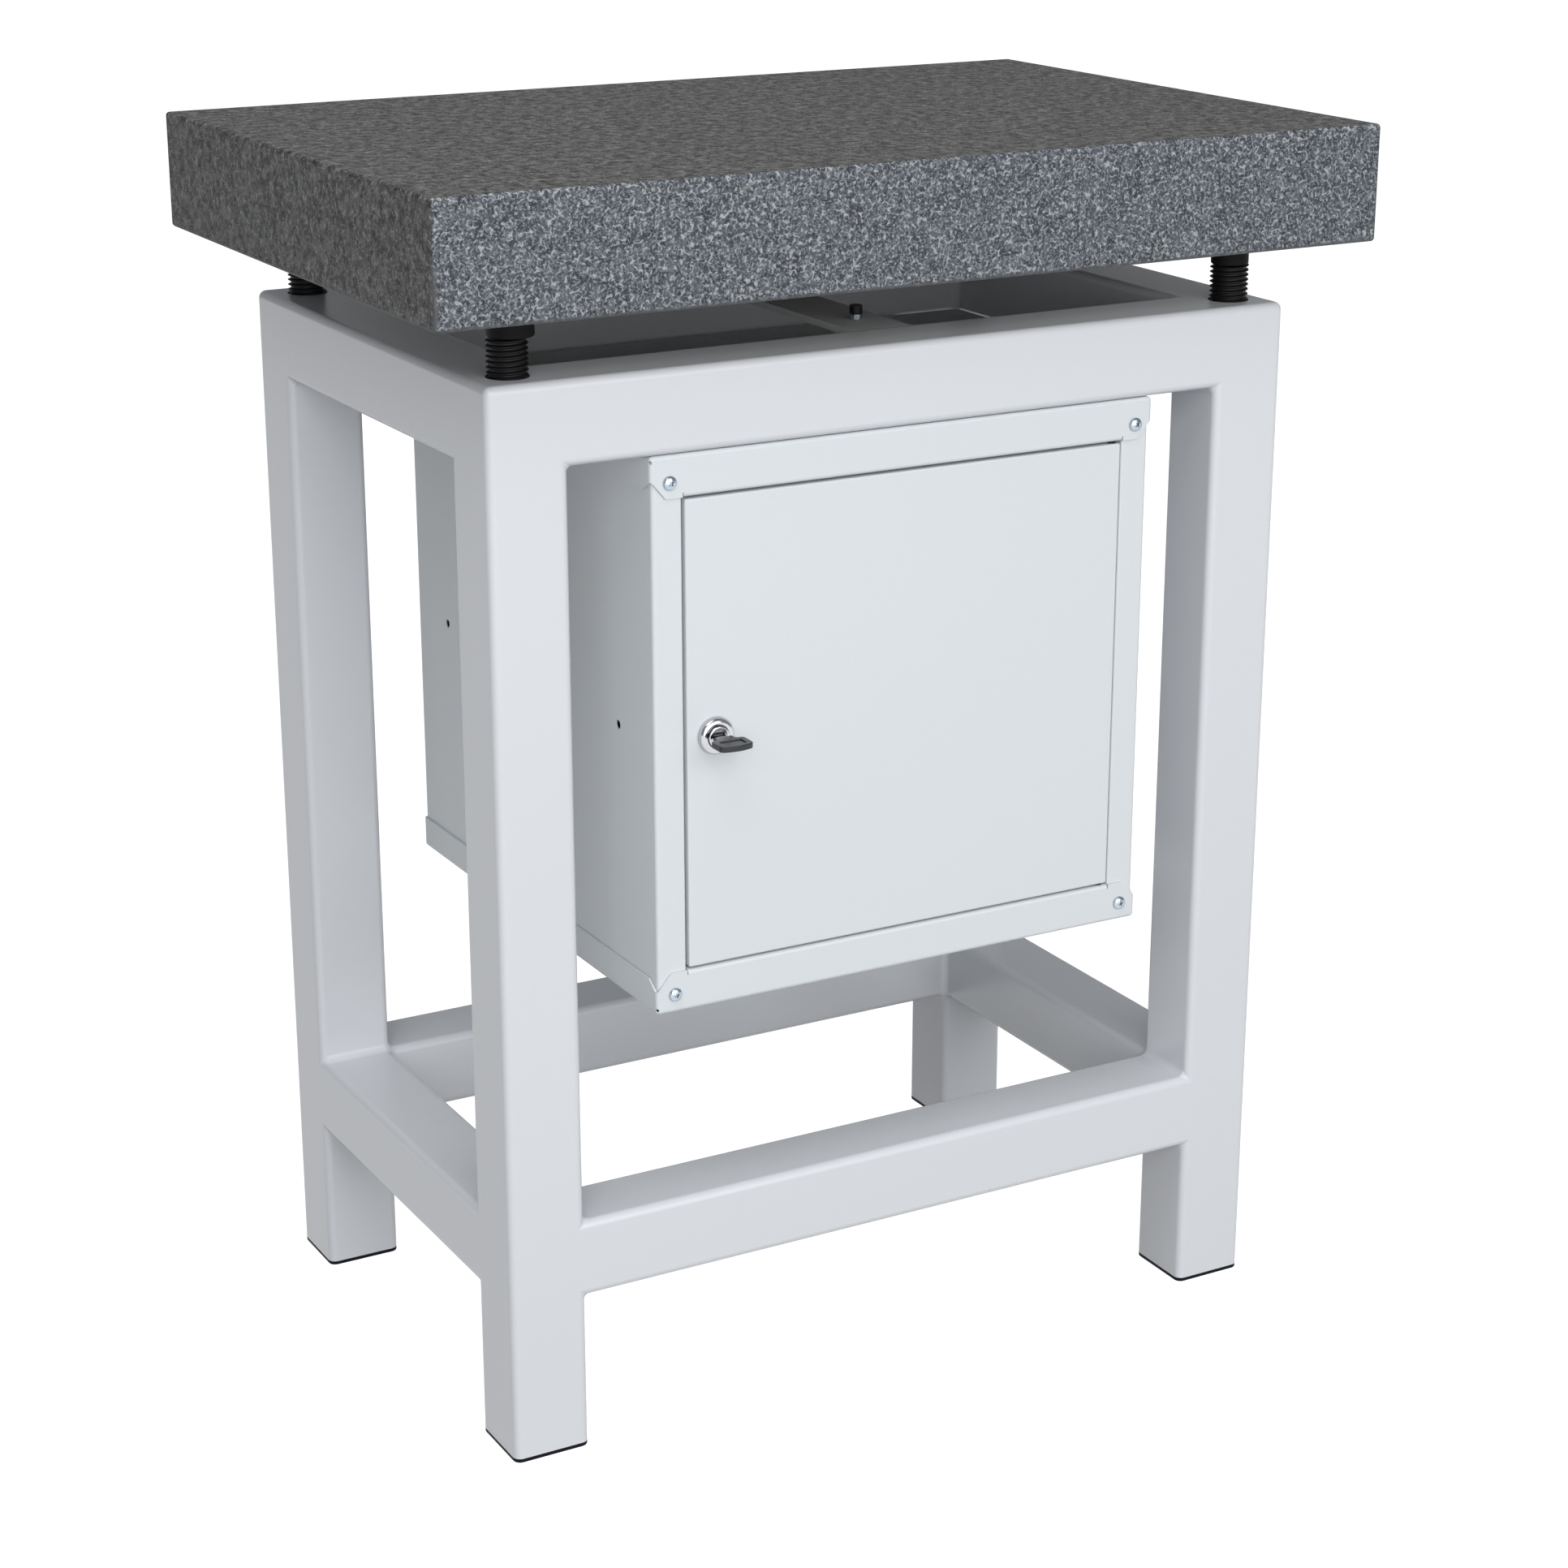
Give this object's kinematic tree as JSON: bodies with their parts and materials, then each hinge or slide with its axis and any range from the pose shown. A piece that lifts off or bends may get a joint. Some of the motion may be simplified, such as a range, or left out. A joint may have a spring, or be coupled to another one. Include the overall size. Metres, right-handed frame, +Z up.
{
  "type": "granite surface plate with cabinet",
  "caption": "Granite surface plate on levelling screws, on a welded square-tube stand with a lockable sheet-metal cabinet hung under it.",
  "frame": {"origin": "on the floor under the middle of the stand and of the plate", "axes": "+X right along the long side, +Y from the door to the back, +Z up"},
  "size_m": [0.63, 0.42, 0.779],
  "materials": {
    "granite": "lapped top, ground sides, fine light flecks",
    "stand_paint": "glossy pale grey powder coat",
    "cabinet_paint": "satin pale grey powder coat",
    "black_plastic": "moulded, satin",
    "black_rubber": "matt",
    "screw_steel": "rolled thread, black oxide",
    "zinc": "bright zinc plate",
    "bare_steel": "as machined",
    "blackened_steel": "black oxide",
    "chrome": "polished"
  },
  "bodies": {
    "stand": {"leg_front_left": "stand_paint", "foot_cap_front_left": "black_plastic", "nut_block_front_left": "bare_steel", "leg_front_right": "stand_paint", "foot_cap_front_right": "black_plastic", "nut_block_front_right": "bare_steel", "leg_rear_left": "stand_paint", "foot_cap_rear_left": "black_plastic", "nut_block_rear_left": "bare_steel", "leg_rear_right": "stand_paint", "foot_cap_rear_right": "black_plastic", "nut_block_rear_right": "bare_steel", "top_rail_front": "stand_paint", "top_rail_rear": "stand_paint", "top_rail_left": "stand_paint", "top_rail_right": "stand_paint", "stretcher_front": "stand_paint", "stretcher_rear": "stand_paint", "stretcher_left": "stand_paint", "stretcher_right": "stand_paint", "crossbar": "stand_paint", "closing_sheet": "stand_paint", "crossbar_screw": "blackened_steel", "crossbar_spacer": "zinc", "cabinet_top_pan": "cabinet_paint", "cabinet_bottom_pan": "cabinet_paint", "cabinet_left_panel": "cabinet_paint", "cabinet_right_panel": "cabinet_paint", "cabinet_back_panel": "cabinet_paint", "shelf": "cabinet_paint", "corner_screw_lower_left": "zinc", "corner_screw_lower_right": "zinc", "corner_screw_upper_left": "zinc", "corner_screw_upper_right": "zinc", "cabinet_bolt_front_left": "zinc", "shelf_peg_front_left": "zinc", "cabinet_bolt_front_right": "zinc", "shelf_peg_front_right": "zinc", "cabinet_bolt_rear_left": "zinc", "shelf_peg_rear_left": "zinc", "cabinet_bolt_rear_right": "zinc", "shelf_peg_rear_right": "zinc", "hinge_pin_upper": "bare_steel", "hinge_pin_lower": "bare_steel"},
    "plate": {"granite_plate": "granite", "pad_front_left": "black_rubber", "pad_front_right": "black_rubber", "pad_rear_left": "black_rubber", "pad_rear_right": "black_rubber"},
    "door": {"door_panel": "cabinet_paint", "lock_housing": "chrome", "lock_nut": "zinc"},
    "lock": {"lock_plug": "chrome", "lock_cam": "zinc", "cam_screw": "zinc"},
    "key": {"key": "chrome"},
    "screw_front_left": {"levelling_screw_front_left": "screw_steel"},
    "screw_front_right": {"levelling_screw_front_right": "screw_steel"},
    "screw_rear_left": {"levelling_screw_rear_left": "screw_steel"},
    "screw_rear_right": {"levelling_screw_rear_right": "screw_steel"}
  },
  "joints": [
    {"name": "plate_lift", "type": "slide", "parent": "stand", "child": "plate", "axis": [0, 0, 1], "range_m": [-0.008, 0.012]},
    {"name": "screw_turn_front_left", "type": "hinge", "parent": "plate", "child": "screw_front_left", "pos_m": [-0.2475, -0.152, 0.668], "axis": [0, 0, 1], "range_deg": [-961, 1441]},
    {"name": "screw_turn_front_right", "type": "hinge", "parent": "plate", "child": "screw_front_right", "pos_m": [0.2475, -0.152, 0.668], "axis": [0, 0, 1], "range_deg": [-961, 1441]},
    {"name": "screw_turn_rear_left", "type": "hinge", "parent": "plate", "child": "screw_rear_left", "pos_m": [-0.2475, 0.152, 0.668], "axis": [0, 0, 1], "range_deg": [-961, 1441]},
    {"name": "screw_turn_rear_right", "type": "hinge", "parent": "plate", "child": "screw_rear_right", "pos_m": [0.2475, 0.152, 0.668], "axis": [0, 0, 1], "range_deg": [-961, 1441]},
    {"name": "door_hinge", "type": "hinge", "parent": "stand", "child": "door", "pos_m": [0.1488, -0.1713, 0.4467], "axis": [0, 0, 1], "range_deg": [0, 110]},
    {"name": "lock_turn", "type": "hinge", "parent": "door", "child": "lock", "pos_m": [-0.1308, -0.1755, 0.4467], "axis": [0, -1, 0], "range_deg": [0, 90]},
    {"name": "key_pull", "type": "slide", "parent": "lock", "child": "key", "axis": [0, -1, 0], "range_m": [0, 0.02]}
  ],
  "couplings": [
    {"joint": "screw_turn_front_left", "follows": "plate_lift", "rad_per_m": 2094.4},
    {"joint": "screw_turn_front_right", "follows": "plate_lift", "rad_per_m": 2094.4},
    {"joint": "screw_turn_rear_left", "follows": "plate_lift", "rad_per_m": 2094.4},
    {"joint": "screw_turn_rear_right", "follows": "plate_lift", "rad_per_m": 2094.4}
  ]
}
